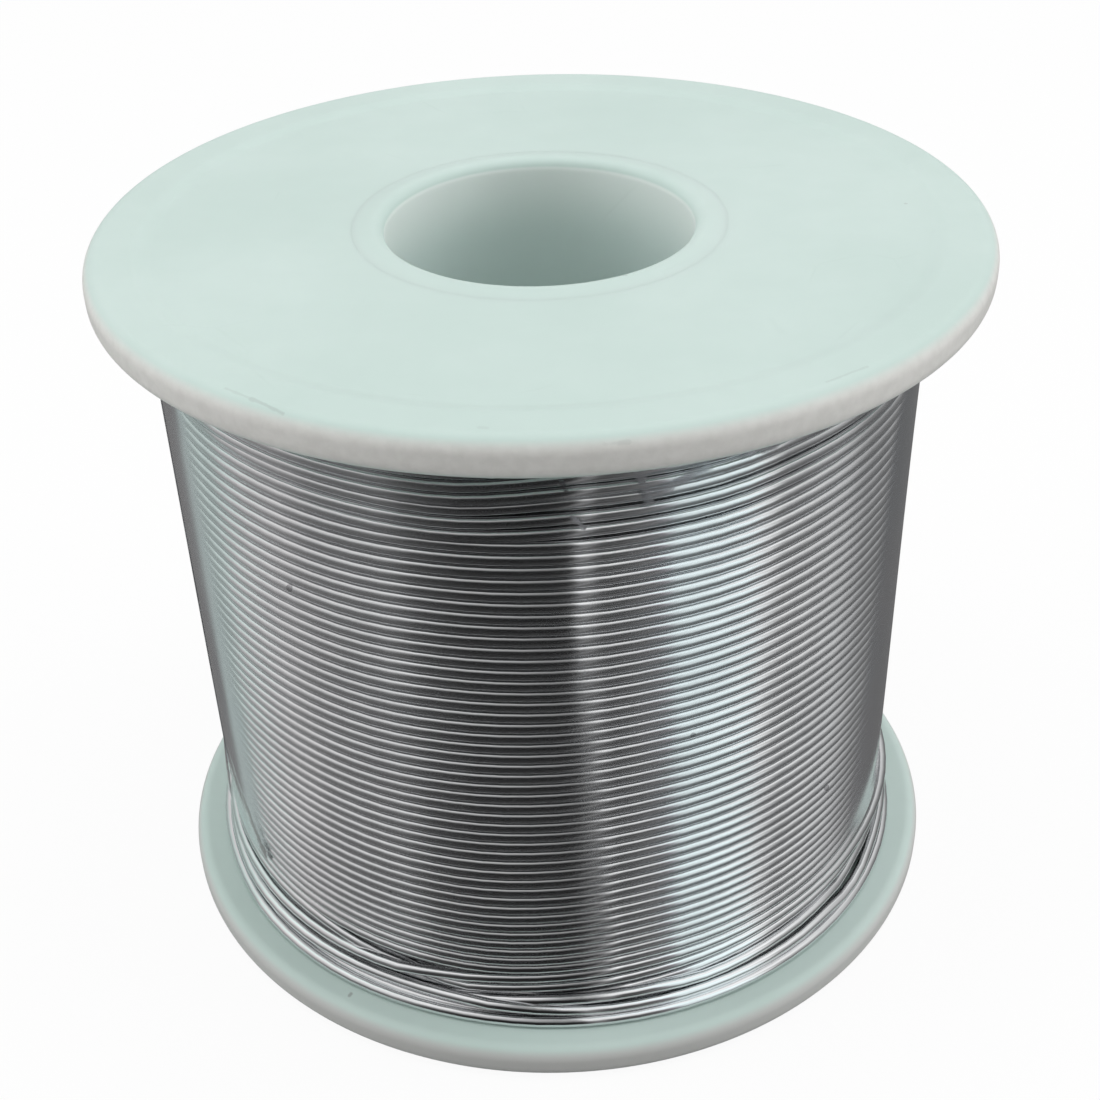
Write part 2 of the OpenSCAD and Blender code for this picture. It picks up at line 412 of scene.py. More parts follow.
def side_set(angle, z):
    """How far the winding lies inside its nominal radius, in millimetres.

    The winding isn't quite round: it is slimmer on the left, and on the
    right, where it gets slimmer still towards the top. Both fade with the
    fourth power of the angle's cosine, and the loose turns have none of it.
    """
    side = np.cos(angle)
    right = (RIGHT_SET + RIGHT_MORE * smooth_step(z / 40)) * np.maximum(side, 0) ** 4
    left = LEFT_SET * np.maximum(-side, 0) ** 4
    return (right + left) * smooth_step((z - SET_FROM) / SET_OVER)


print("slimmer at mid height, right and left:",
      [round(float(side_set(a, 25.0)), 2) for a in (0, np.pi)])

# %% The whole course
START_Z = 46.90
BEHIND_FROM, BEHIND_SPAN = 0.62, 0.68  # where a turn eases to the next one's height
# How the close turns wander: millimetres, waves in a turn, and their drift.
WANDER_Z = [(0.012, 3, 0.35), (0.010, 7, -0.9)]
WANDER_R = [(0.012, 5, 1.3), (0.010, 2, 0.21)]


def course_knots():
    """All the places the wire passes, as turns, radii and heights.

    A close turn between two in the guide table gets heights between theirs.
    Behind the reel it eases from its own height on the right down to the
    next turn's height on the left.
    """
    n = np.arange(GUIDE_TURNS[0], GUIDE_TURNS[-1] + 1)
    seen = np.stack([np.interp(n, GUIDE_TURNS, column) for column in GUIDE_HEIGHTS.T], -1)
    following = np.append(seen[1:, 0], LOOSE[0, 2])[:, None]
    behind = np.array([0.70, 0.80, 0.90, 1.00, 1.10, 1.20])
    share = smooth_step((behind - BEHIND_FROM) / BEHIND_SPAN)
    heights = np.concatenate([seen, seen[:, -1:] * (1 - share) + following * share], axis=1)
    turns = n[:, None] + np.append((GUIDE_ANGLES - 90) / 360, behind)
    turns = np.concatenate([[FIRST_TURN], turns.ravel(), LOOSE[:, 0]])
    heights = np.concatenate([[START_Z], heights.ravel(), LOOSE[:, 2]])
    radii = np.full(len(turns), LAYER_R)
    radii[-len(LOOSE):] = LOOSE[:, 1]
    return turns, radii, heights


def wander(turns, terms):
    """The sum of the terms: size * sin(waves * angle + drift * turns)."""
    return sum(size * np.sin(waves * (2 * np.pi * turns) + drift * turns)
               for size, waves, drift in terms)


def wire_course(turns):
    """Radius and height of the centre line after a number of turns."""
    knots, radii, heights = course_knots()
    r = smooth_through(turns, knots, radii)
    z = smooth_through(turns, knots, heights)
    angle = 2 * np.pi * turns
    calm = 1 - smooth_step(turns - (GUIDE_TURNS[-1] + 0.5))
    z += calm * wander(turns, WANDER_Z)
    r += calm * wander(turns, WANDER_R)
    # The three top turns lie a little proud, and the fourth sinks between them
    # and the next. The sixth is squeezed outwards in front.
    proud = 0.15 * (1 - smooth_step((turns - 3.7) / 0.4))
    sunk = 0.12 * smooth_step(1 - np.abs(turns - 4.45) / 0.5)
    squeezed = 0.12 * smooth_step(1 - np.abs(turns - 6.455) / 0.07)
    return r + (proud - sunk) + squeezed - calm * side_set(np.pi / 2 + angle, z), z


# %% [markdown]
# ## A tube along a path
# A ring of twelve corners is carried along the path. More corners sit on the
# side that faces outwards, because only that side is ever seen.

# %% Rings round a path
RING_SIDES = 12
print("sides of the wire:", RING_SIDES)


def ring_angles(crowding=0.38):
    """Angles round a wire, crowded near 0, the outward side.

    For even steps u the angle is u - k sin u, whose steps are smallest at 0.
    """
    u = np.linspace(-np.pi, np.pi, RING_SIDES, endpoint=False)
    return u - crowding * np.sin(u)


def tube_points_along(path, outward, up, radius, angles):
    """Rings of points: path + radius * (cos a * outward + sin a * up)."""
    c, s = np.cos(angles)[None, :, None], np.sin(angles)[None, :, None]
    return path[:, None] + radius * (c * outward[:, None] + s * up[:, None])


def capped_tube(name, rings, uv=None):
    """A piece from rings of points, with a fan of triangles on each end."""
    count, sides = rings.shape[:2]
    points = np.concatenate([rings.reshape(-1, 3), rings[[0, -1]].mean(1)])
    j = np.arange(sides)
    k, base, middle = (j + 1) % sides, (count - 1) * sides, np.full(sides, count * sides)
    fans = np.concatenate([np.stack([middle, j, k], -1),
                           np.stack([middle + 1, base + k, base + j], -1)])
    if uv is not None:
        uv = np.concatenate([uv.reshape(-1, 2), uv[[0, -1], 0]])
    return make_piece(name, points, grid_quads(count, sides, False, True), fans, uv)


# %% Wind the wire
RINGS_PER_TURN = 96
turns = np.linspace(FIRST_TURN, LAST_TURN,
                    int((LAST_TURN - FIRST_TURN) * RINGS_PER_TURN) + 1)
course_r, course_z = wire_course(turns)
# The upper end dives into the layers below it during the first part turn.
DIVE, DIVE_TURNS = 1.1, 0.045
course_r = course_r - DIVE * (1 - smooth_step((turns - FIRST_TURN) / DIVE_TURNS))
course_a = np.pi / 2 + 2 * np.pi * turns
path = around(course_r, course_z, course_a)
radial = around(1.0, 0.0, course_a)
upward = np.broadcast_to([0.0, 0.0, 1.0], radial.shape)
angles = ring_angles()
rings = tube_points_along(path, radial, upward, WIRE_R, angles)
winding_uv = np.stack(np.broadcast_arrays(turns[:, None], angles / (2 * np.pi) + 0.5), -1)
winding = capped_tube("solder_winding", rings, winding_uv)
gap = np.linalg.norm(path[RINGS_PER_TURN:] - path[:-RINGS_PER_TURN], axis=1) - 2 * WIRE_R
print("turns:", LAST_TURN - FIRST_TURN, "least gap in mm:", round(float(gap.min()), 3))

# %% [markdown]
# ## The layers under it
# Between the loose turns one looks down on the layer below. It was wound the
# other way, so its ridges climb where the outer turns fall. One ridged
# sleeve shows that without winding all 2,000 hidden turns.

# %% A ridged sleeve
def ridged_sleeve():
    """Outer wall r = c + sqrt(R^2 - w^2), where w is the height above the
    nearest ridge's middle; the ridges climb by one pitch in each turn."""
    segments, per_ridge, pitch, clear = 96, 8, 2 * WIRE_R, 0.06
    rise = WINDING_HI - WINDING_LO
    z = np.linspace(0, rise, int(rise / pitch * per_ridge) + 1)
    a = once_round(segments)[:, None]
    phase = z / pitch - a / (2 * np.pi)
    w = (phase - np.floor(phase) - 0.5) * pitch
    r = CORE_R - WIRE_R + np.sqrt(np.maximum(WIRE_R**2 - w**2, 0.0))
    r[:, 0] = r[:, -1] = CORE_R - WIRE_R
    r = r - side_set(a, z + WINDING_LO)
    r = np.concatenate([r, np.full((segments, 2), BARREL_R + clear)], axis=1)
    z = np.concatenate([z, [rise, 0]]) + WINDING_LO
    return around(r, z, a), grid_quads(segments, r.shape[1], True, True)


inner_layers = make_piece("solder_layers_under", *ridged_sleeve())

# %% [markdown]
# ## The free end
# The last centimetre stands off the winding behind the reel, where a user
# takes hold of it. It was nipped with cutters, which leaves a blunt end with
# the amber flux showing in the middle.

# %% The end of the wire
END_R, END_Z = LOOSE[-1, 1], LOOSE[-1, 2]
TAIL_L, TAIL_SET, TAIL_DROOP = 10.0, 0.12, 0.05
FLUX_R, FLUX_ROOM = 0.15, 0.02
tail_start = 2 * WIRE_R


def tail_path(x):
    """Points of the tail: straight off the winding, with a slight droop and a
    slight inward set of (x/L)^2, as a wire keeps from its spool."""
    share = np.clip((x - tail_start) / TAIL_L, 0, 1)
    return np.stack([-x, END_R - TAIL_SET * share**2, END_Z - TAIL_DROOP * share**2], -1)


def tail_rings(radii, lengths):
    """Rings round the tail, one for each pair of a radius and a length."""
    a = once_round(24)
    ring = np.stack([np.zeros_like(a), np.cos(a), np.sin(a)], -1)
    return tail_path(lengths)[:, None] + radii[:, None, None] * ring


tip = tail_start + TAIL_L
body_x = np.concatenate([[0.0], np.linspace(0.3, tip - 0.25, 20)])
outer_x = np.concatenate([body_x, [tip - 0.12, tip - 0.03, tip]])
# The nipped end narrows in three rings and turns in to the flux's channel.
outer_radii = np.concatenate([np.full(len(body_x), WIRE_R), [0.385, 0.35, 0.30]])
channel_x = np.array([tip, tip - 0.02, tip - 3.0, tip - 3.0])
channel_radii = np.array([0.20, FLUX_R + FLUX_ROOM, FLUX_R + FLUX_ROOM, 0.02])
free_end = capped_tube("solder_free_end_nipped", tail_rings(
    np.concatenate([outer_radii, channel_radii]), np.concatenate([outer_x, channel_x])))
flux_x = np.array([tip - 2.95, tip - 2.9, tip - 0.05, tip - 0.01, tip])
flux_core = capped_tube("flux_core_end", tail_rings(
    np.array([0.12, FLUX_R, FLUX_R, 0.13, 0.09]), flux_x))

# %% [markdown]
# ## The clear film
# A thin film is wrapped tight round the close turns, with its end lapped
# over its start. It is one long strip: the strip's length runs round the
# wire by a full turn and a sixth, and its width runs up the spool. Along its
# upper edge it is gathered under the flange, which leaves shallow folds.

# %% The strip's sizes
FILM_LO, FILM_HI, FILM_T, FILM_GAP = 7.51, 47.10, 0.03, 0.17
FOLDS_FOOT, SLACK_TOP = 40.5, 13.0  # heights between which the film is smooth
LAP_START, LAP_ANGLE = 137.0, 60.0


def fold(x, centre, width):
    """One soft ridge: (1 - u^2)^2 for |u| < 1, with u = (x - centre) / width."""
    u = np.clip(np.abs(x - centre) / width, 0, 1)
    return (1 - u * u) ** 2


print("film between", FILM_LO, "and", FILM_HI, "mm up")


# %% The film's shape
def film_radius(angle, z):
    """Radius of the film's middle at an angle in degrees along the strip and
    a height: the lapped end lies outside the start, folds grow towards the
    upper edge, and the lower edge is slack near the torn end."""
    a = np.radians(angle)
    lapped = smooth_step((angle - (LAP_START + 350)) / 10)
    upper = smooth_step((z - FOLDS_FOOT) / 6.0)
    gather = (0.5 + 0.5 * np.sin(9 * a + 0.4 + 0.12 * z)) ** 2
    gather = gather * 0.16 + 0.07 * np.sin(17 * a - 0.25 * z + 1.0)
    slack = smooth_step((SLACK_TOP - z) / 5.5) * fold(angle, LAP_START + 415, 9)
    ripple = 0.012 * np.sin(5 * a + 0.15 * z) * (1 - upper)
    r = LAYER_R + WIRE_R + FILM_GAP + 0.05 * lapped + upper * gather + 0.30 * slack
    return r - side_set(a, z) + ripple


print("folds in the upper edge and the slack corner ready")


# %% The film's two sides
def crowded(count, margin, start):
    """Parts of a length from 0 to 1, with three close together at each end,
    so that smooth shading isn't bent at the strip's edges."""
    return np.concatenate([margin, np.linspace(start, 1 - start, count), 1 - margin[::-1]])


def film_strip():
    """Both sides of the strip as one closed grid round its section."""
    margin = np.array([0, 0.001, 0.004])
    share = crowded(420, margin * 0.08, 0.002)
    angle = (LAP_START + (360 + LAP_ANGLE) * share)[:, None]
    z = FILM_LO + (FILM_HI - FILM_LO) * crowded(72, margin, 0.008)
    r = film_radius(angle, z)
    # A torn end thins out to nearly nothing.
    inwards = np.minimum(share, 1 - share)[:, None]
    half = FILM_T / 2 * (0.1 + 0.9 * smooth_step(inwards / 0.0008))
    r = np.concatenate([r + half, (r - half)[:, ::-1]], axis=1)
    return around(r, np.concatenate([z, z[::-1]]), np.radians(angle))


def strip_faces(rows, columns):
    """The grid's faces, and at each torn end a row that joins its two sides."""
    k = np.arange(columns // 2 - 1)
    start = np.stack([columns - 1 - k, columns - 2 - k, k + 1, k], -1)
    return np.concatenate([grid_quads(rows, columns, False, True), start,
                           start[:, ::-1] + (rows - 1) * columns])


strip = film_strip()
film = make_piece("clear_film", strip, strip_faces(*strip.shape[:2]))

# %% [markdown]
# ## Tools for the finishes
# Every finish is a small network of shader nodes. A few helpers keep those
# networks short to read. An effect that several finishes share, such as dust,
# is a node group. It puts out only a value, so each finish decides what to do
# with it, and the shader itself stays in the finish.

# %% Helpers for one node
def feed(tree, node, inputs):
    """Gives each input named a value, or the socket that feeds it."""
    for key, value in inputs.items():
        if isinstance(value, bpy.types.NodeSocket):
            tree.links.new(value, node.inputs[key])
        else:
            node.inputs[key].default_value = value


def add(tree, kind, inputs=None, **settings):
    """A new node with its settings and its inputs."""
    made = tree.nodes.new(kind)
    for key, value in settings.items():
        setattr(made, key, value)
    feed(tree, made, inputs or {})
    return made


def math_node(tree, operation, *values, clamp=False):
    """The result of one Math node."""
    return add(tree, "ShaderNodeMath", dict(enumerate(values)),
               operation=operation, use_clamp=clamp).outputs[0]


def vector_node(tree, operation, *values, **named):
    """The result of one Vector Math node, a vector or a number."""
    result = "Value" if operation in ("DOT_PRODUCT", "DISTANCE", "LENGTH") else "Vector"
    return add(tree, "ShaderNodeVectorMath", {**dict(enumerate(values)), **named},
               operation=operation).outputs[result]


def ranged(tree, value, low, high, to_low=0.0, to_high=1.0, smooth=True):
    """value taken from low..high to to_low..to_high, with soft ends."""
    return add(tree, "ShaderNodeMapRange", {
        "Value": value, "From Min": low, "From Max": high,
        "To Min": to_low, "To Max": to_high},
        interpolation_type="SMOOTHSTEP" if smooth else "LINEAR").outputs["Result"]


# Sockets of a Mix node that is set to colours, by number.
MIX_SHARE, MIX_FIRST, MIX_SECOND, MIX_RESULT = 0, 6, 7, 2


def mixed(tree, share, first, second):
    """Colour between first and second."""
    return add(tree, "ShaderNodeMix", {
        MIX_SHARE: share, MIX_FIRST: first, MIX_SECOND: second},
        data_type="RGBA").outputs[MIX_RESULT]


def noise(tree, place, scale, detail, roughness=0.5, output="Fac"):
    """The grey, or the colour, of a Noise texture."""
    return add(tree, "ShaderNodeTexNoise", {
        "Vector": place, "Scale": scale, "Detail": detail,
        "Roughness": roughness}).outputs[output]


def bumped(tree, height, strength, distance):
    """The normal of a surface that a height map roughens; distance in mm."""
    return add(tree, "ShaderNodeBump", {
        "Height": height, "Strength": strength, "Distance": distance * MM}).outputs["Normal"]


print("node helpers ready")

# %% Helpers for a whole finish
VALUE, VECTOR = "NodeSocketFloat", "NodeSocketVector"


def bare_finish(name):
    """A material without nodes, and its node tree."""
    finish = bpy.data.materials.new(name)
    finish.use_nodes = True
    finish.node_tree.nodes.clear()
    return finish, finish.node_tree


def start_finish(name, **constants):
    """A material with a Principled shader wired to its output, that has these
    constants, and the Object coordinates."""
    finish, tree = bare_finish(name)
    shader = add(tree, "ShaderNodeBsdfPrincipled", constants)
    add(tree, "ShaderNodeOutputMaterial", {"Surface": shader.outputs["BSDF"]})
    return finish, tree, shader, add(tree, "ShaderNodeTexCoord").outputs["Object"]


def start_effect(name, **inputs):
    """An empty node group with the inputs named, and the sockets they give."""
    group = bpy.data.node_groups.new(name, "ShaderNodeTree")
    for label, kind in inputs.items():
        group.interface.new_socket(name=label, in_out="INPUT", socket_type=kind)
    return group, add(group, "NodeGroupInput").outputs


def end_effect(group, label, result):
    """Joins the result to the group's one output."""
    group.interface.new_socket(name=label, in_out="OUTPUT", socket_type=VALUE)
    add(group, "NodeGroupOutput", {label: result})


def effect(tree, group, **inputs):
    """What a shared effect gives when it is placed in a finish."""
    return add(tree, "ShaderNodeGroup", inputs, node_tree=group).outputs[0]


def seen_rays(tree):
    """1 for the camera's, mirror-like and see-through rays, 0 for the rest."""
    kinds = add(tree, "ShaderNodeLightPath").outputs
    seen = math_node(tree, "MAXIMUM", kinds["Is Camera Ray"], kinds["Is Glossy Ray"])
    return math_node(tree, "MAXIMUM", seen, kinds["Is Transmission Ray"])


print("finish helpers ready")

# %% Clouds and dust
clouds, given = start_effect("soft_clouds", Vector=VECTOR, Scale=VALUE)
soft = noise(clouds, given["Vector"], given["Scale"], 3.0, 0.55)
end_effect(clouds, "Value", ranged(clouds, soft, 0.3, 0.7))

SPECK_SIZES = 0.06, 0.22  # parts of a cell
dust, given = start_effect("dust_specks", Vector=VECTOR, Scale=VALUE, Share=VALUE)
cells = add(dust, "ShaderNodeTexVoronoi", {
    "Vector": given["Vector"], "Scale": given["Scale"]}).outputs
chosen = add(dust, "ShaderNodeSeparateColor", {"Color": cells["Color"]}).outputs
picked = math_node(dust, "LESS_THAN", chosen["Red"], given["Share"])
size = ranged(dust, chosen["Green"], 0.0, 1.0, *SPECK_SIZES, smooth=False)
spot = math_node(dust, "LESS_THAN", cells["Distance"], size)
end_effect(dust, "Mask", math_node(dust, "MULTIPLY", picked, spot))
print("effects:", clouds.name, dust.name)

# %% Fine scratches
BEND = 4 * MM  # how far a scratch strays from a straight line
scratches, given = start_effect("fine_scratches", Vector=VECTOR, Scale=VALUE)
bent = noise(scratches, given["Vector"], 90.0, 1.0, output="Color")
pushed = vector_node(scratches, "MULTIPLY", bent, (BEND, BEND, BEND))
moved = vector_node(scratches, "ADD", given["Vector"], pushed)
lines = add(scratches, "ShaderNodeTexVoronoi", {
    "Vector": moved, "Scale": given["Scale"]}, feature="DISTANCE_TO_EDGE")
hair = ranged(scratches, lines.outputs["Distance"], 0.0, 0.02, 1.0, 0.0)
patch = noise(scratches, given["Vector"], 160.0, 2.0)
where = ranged(scratches, patch, 0.56, 0.68)
end_effect(scratches, "Mask", math_node(scratches, "MULTIPLY", hair, where))
print("effect:", scratches.name)

# %% A mark along a line
# The distance to the line from Start to End is measured at the line's nearest
# point, and the mark fades where that distance nears its width.
line_mark, given = start_effect(
    "line_mark", Vector=VECTOR, Start=VECTOR, End=VECTOR, Width=VALUE)
span = vector_node(line_mark, "SUBTRACT", given["End"], given["Start"])
reach = vector_node(line_mark, "SUBTRACT", given["Vector"], given["Start"])
along = math_node(line_mark, "DIVIDE", vector_node(line_mark, "DOT_PRODUCT", reach, span),
                  vector_node(line_mark, "DOT_PRODUCT", span, span), clamp=True)
nearest = vector_node(line_mark, "SCALE", span, Scale=along)
away = vector_node(line_mark, "DISTANCE", reach, nearest)
ragged = noise(line_mark, given["Vector"], 1500.0, 2.0)
away = math_node(line_mark, "MULTIPLY", away, ranged(line_mark, ragged, 0.3, 0.7, 0.75, 1.5))
away = math_node(line_mark, "DIVIDE", away, given["Width"])
end_effect(line_mark, "Mask", ranged(line_mark, away, 0.35, 1.0, 1.0, 0.0))


def marked(tree, place, marks):
    """How much any of the marks covers a place. A mark has its two ends and
    its width in millimetres, and its strength from 0 to 1."""
    total = None
    for start, end, width, strength in marks:
        mask = effect(tree, line_mark, Vector=place, Start=[x * MM for x in start],
                      End=[x * MM for x in end], Width=width * MM)
        mask = math_node(tree, "MULTIPLY", mask, strength)
        total = mask if total is None else math_node(tree, "MAXIMUM", total, mask)
    return total


print("shared effects:", [g.name for g in bpy.data.node_groups])

# %% [markdown]
# ## The reel's plastic
# The reel is moulded in a pale milky plastic with a touch of mint. Light
# goes a little way in, which softens the rim and the bore. Roughness and
# colour drift slowly over the faces, and the rim is a little greyer. The
# lower flange's rim is painted darker, as painted shade where little light
# comes from below. The bore's wall is painted lighter, and lighter still
# towards its upper end, as a painted glow of light through the wall.

# %% Colours and marks of the plastic
# Pairs of colours, between which a cloudy pattern or a height chooses.
MINT_SHADES = (0.610, 0.745, 0.700, 1), (0.650, 0.775, 0.735, 1)
RIM_SHADES = (0.81, 0.79, 0.76, 1), (0.87, 0.85, 0.82, 1)
# The bore's two colours on the next line are a painted glow: lighter than the mint faces,
# and lightest at the top.
BORE_GLOW_SHADES_PAINTED = (0.71, 0.82, 0.79, 1), (0.89, 0.97, 0.93, 1)
# The second colour on the next line is painted shade for the lower flange's rim, where
# little light comes from below.
MOTTLE, LOWER_RIM_SHADE_GREY = (0.56, 0.68, 0.64, 1), (0.65, 0.645, 0.63, 1)
SCRATCH_GREY, SPECK_GREY, SCUFF_GREY = (
    (0.45, 0.50, 0.48, 1), (0.36, 0.38, 0.36, 1), (0.30, 0.32, 0.31, 1))
# Bench marks, in millimetres: grey scuffs on the upper rim, a dark speck on
# the lower flange.
SCUFFS = [
    ((-17.1, -22.3, 50.0), (-15.6, -23.5, 50.0), 0.14, 0.16),
    ((-15.6, -23.5, 50.0), (-13.7, -25.0, 49.8), 0.18, 0.26),
    ((15.0, -23.6, 50.0), (17.4, -22.0, 50.0), 0.14, 0.16),
    ((-3.4, -27.4, 50.0), (-3.0, -27.5, 50.0), 0.22, 0.12),
    ((0.0, -28.2, 49.8), (0.8, -28.2, 49.8), 0.16, 0.16),
    ((3.0, -28.6, 49.5), (4.2, -28.5, 49.5), 0.18, 0.18),
    ((-15.0, -23.2, 2.6), (-14.9, -23.1, 2.6), 0.20, 0.60),
]
print("shades and", len(SCUFFS), "bench marks ready")


# %% Milky plastic
def reel_plastic():
    """Mint faces, a greyer rim with painted shade below, a painted glow in the bore."""
    finish, tree, shader, place = start_finish("milky_reel_plastic", **{
        "IOR": 1.49, "Subsurface Weight": 0.15, "Subsurface Radius": (0.9, 1.0, 0.9),
        "Subsurface Scale": 1.0 * MM})
    cloudy = effect(tree, clouds, Vector=place, Scale=55.0)
    fine = effect(tree, clouds, Vector=place, Scale=420.0)
    grain = effect(tree, clouds, Vector=place, Scale=1500.0)
    specks = effect(tree, dust, Vector=place, Scale=800.0, Share=0.006)
    hairs = effect(tree, scratches, Vector=place, Scale=130.0)
    parts = add(tree, "ShaderNodeSeparateXYZ", {"Vector": place}).outputs
    x2 = math_node(tree, "MULTIPLY", parts["X"], parts["X"])
    y2 = math_node(tree, "MULTIPLY", parts["Y"], parts["Y"])
    radius = math_node(tree, "SQRT", math_node(tree, "ADD", x2, y2))
    # The outer rim: greyer all round, and painted shade on the lower flange's rim.
    outer_rim_share = ranged(tree, radius, 28.5 * MM, 29.0 * MM, 0.0, 0.9)
    # The bore's wall, which gets the painted glow.
    bore_wall_painted_glow = ranged(tree, radius, 10.01 * MM, 10.08 * MM, 1.0, 0.0)
    # Painted shade: the lower flange's rim is painted darker, where little light comes from
    # below.
    lower_rim_painted_shade = ranged(tree, parts["Z"], 2.5 * MM, 4.0 * MM, 1.0, 0.0)
    # Painted glow that grows towards the bore's upper end.
    painted_glow_to_top = ranged(tree, parts["Z"], 44.0 * MM, 49.5 * MM)
    colour = mixed(tree, cloudy, *MINT_SHADES)
    colour = mixed(tree, math_node(tree, "MULTIPLY", fine, 0.12), colour, MOTTLE)
    rim_grey_and_shade = mixed(tree, lower_rim_painted_shade, mixed(tree, grain, *RIM_SHADES), LOWER_RIM_SHADE_GREY)
    colour = mixed(tree, outer_rim_share, colour, rim_grey_and_shade)
    # Here the bore's wall takes its painted glow.
    colour = mixed(tree, bore_wall_painted_glow, colour, mixed(tree, painted_glow_to_top, *BORE_GLOW_SHADES_PAINTED))
    colour = mixed(tree, math_node(tree, "MULTIPLY", hairs, 0.05), colour, SCRATCH_GREY)
    colour = mixed(tree, math_node(tree, "MULTIPLY", specks, 0.3), colour, SPECK_GREY)
    colour = mixed(tree, marked(tree, place, SCUFFS), colour, SCUFF_GREY)
    rough = ranged(tree, cloudy, 0.0, 1.0, 0.40, 0.52, smooth=False)
    rough = math_node(tree, "ADD", rough, math_node(tree, "MULTIPLY", hairs, 0.15))
    height = math_node(tree, "SUBTRACT", math_node(tree, "MULTIPLY", fine, 0.35), hairs)
    feed(tree, shader, {"Base Color": colour, "Roughness": rough,
                        "Normal": bumped(tree, height, 0.10, 0.05)})
    return finish


plastic = reel_plastic()
print("finish:", plastic.name)

# %% [markdown]
# ## The solder
# Drawn tin alloy is nearly a mirror. The die leaves fine lines along the
# wire, and handling leaves dull patches. The lines follow the winding's own
# UV map, whose first number counts the turns and whose second goes round
# the wire.

# %% Bright drawn wire
TIN_SHADES = (0.86, 0.87, 0.88, 1), (0.80, 0.81, 0.82, 1)
TIN_SPECK = (0.25, 0.25, 0.26, 1)
DIE_LINES = (30.0, 46.0, 1.0)  # patches along a turn, lines round the wire


def solder_finish(name, drawn_lines):
    """Mirror-bright metal with dull patches, and with die lines if asked."""
    finish, tree, shader, place = start_finish(name, Metallic=1.0)
    dull = effect(tree, clouds, Vector=place, Scale=180.0)
    specks = effect(tree, dust, Vector=place, Scale=700.0, Share=0.015)
    colour = mixed(tree, dull, *TIN_SHADES)
    colour = mixed(tree, math_node(tree, "MULTIPLY", specks, 0.6), colour, TIN_SPECK)
    rough = ranged(tree, dull, 0.0, 1.0, 0.08, 0.13, smooth=False)
    height = math_node(tree, "MULTIPLY", dull, 0.2)
    if drawn_lines:
        stretched = add(tree, "ShaderNodeMapping", {
            "Vector": place.node.outputs["UV"], "Scale": DIE_LINES}).outputs["Vector"]
        die = noise(tree, stretched, 1.0, 2.0)
        height = math_node(tree, "ADD", height, die)
        rough = math_node(tree, "ADD", rough, ranged(tree, die, 0.4, 0.8, 0.0, 0.04))
    feed(tree, shader, {"Base Color": colour, "Roughness": rough,
                        "Normal": bumped(tree, height, 0.05, 0.01)})
    return finish


bright_wire = solder_finish("bright_drawn_solder", True)
dull_wire = solder_finish("solder_below", False)
print("finishes:", bright_wire.name, dull_wire.name)

# %% [markdown]
# ## The flux and the film
# The flux is a hard amber resin. The film is so thin that it bends no light:
# it only adds its own reflections over what lies under it, hardly any where
# one looks straight at it and nearly a mirror at its edges. The facing value
# of a Layer Weight node measures the slant and drives how opaque the film is.
# A Fresnel node would also do, but on the film's back face it acts as if the
# light left solid plastic, and the film would turn opaque.

# %% Amber flux
AMBER_SHADES = (0.52, 0.27, 0.05, 1), (0.70, 0.42, 0.10, 1)


def flux_finish():
    """Amber resin with a fine cloudy grain."""
    finish, tree, shader, place = start_finish("amber_flux")
    cloudy = effect(tree, clouds, Vector=place, Scale=2500.0)
    feed(tree, shader, {"Base Color": mixed(tree, cloudy, *AMBER_SHADES),
                        "Roughness": ranged(tree, cloudy, 0.0, 1.0, 0.12, 0.3),
                        "Normal": bumped(tree, cloudy, 0.3, 0.02)})
    return finish


amber = flux_finish()
print("finish:", amber.name)


# %% Where the film is creased and torn
FILM_R = 25.8


def on_film(marks):
    """Marks whose ends are (angle round the reel, height), put on the film."""
    def point(degrees, height):
        """(r cos a, r sin a, height) at the film's radius."""
        a = math.radians(degrees)
        return FILM_R * math.cos(a), FILM_R * math.sin(a), height
    return [(point(*start), point(*end), *rest) for start, end, *rest in marks]


# White creases where the film was gathered under the flange, and the crumpled
# corner of the torn end. Each has two ends, a width and a strength.
CREASES = on_film([
    ((251.7, 44.0), (254.0, 44.2), 0.14, 0.40),
    ((254.0, 44.2), (257.7, 45.8), 0.16, 0.45),
    ((271.6, 45.7), (272.2, 45.1), 0.16, 0.40),
    ((272.9, 43.4), (274.4, 42.6), 0.20, 0.60),
    ((280.6, 46.4), (282.5, 43.9), 0.40, 0.45),
    ((283.5, 44.4), (289.5, 45.4), 0.45, 0.40),
    ((293.0, 46.1), (299.3, 45.6), 0.50, 0.50),
    ((299.3, 45.6), (302.2, 46.6), 0.45, 0.45),
])
TORN_CORNER = on_film([
    ((200.5, 14.2), (207.0, 11.4), 0.50, 0.60),
    ((207.0, 11.4), (213.6, 8.1), 0.75, 0.80),
])
print("creases:", len(CREASES), "torn places:", len(TORN_CORNER))

# %% Clear film
FILM_SHADES = (0.83, 0.86, 0.90, 1), (0.88, 0.87, 0.90, 1)
TORN_GREY = (0.60, 0.57, 0.57, 1)
EDGE_FROM, EDGE_TO, EDGE_COVER = 0.70, 0.80, 0.88  # slants, and most cover there


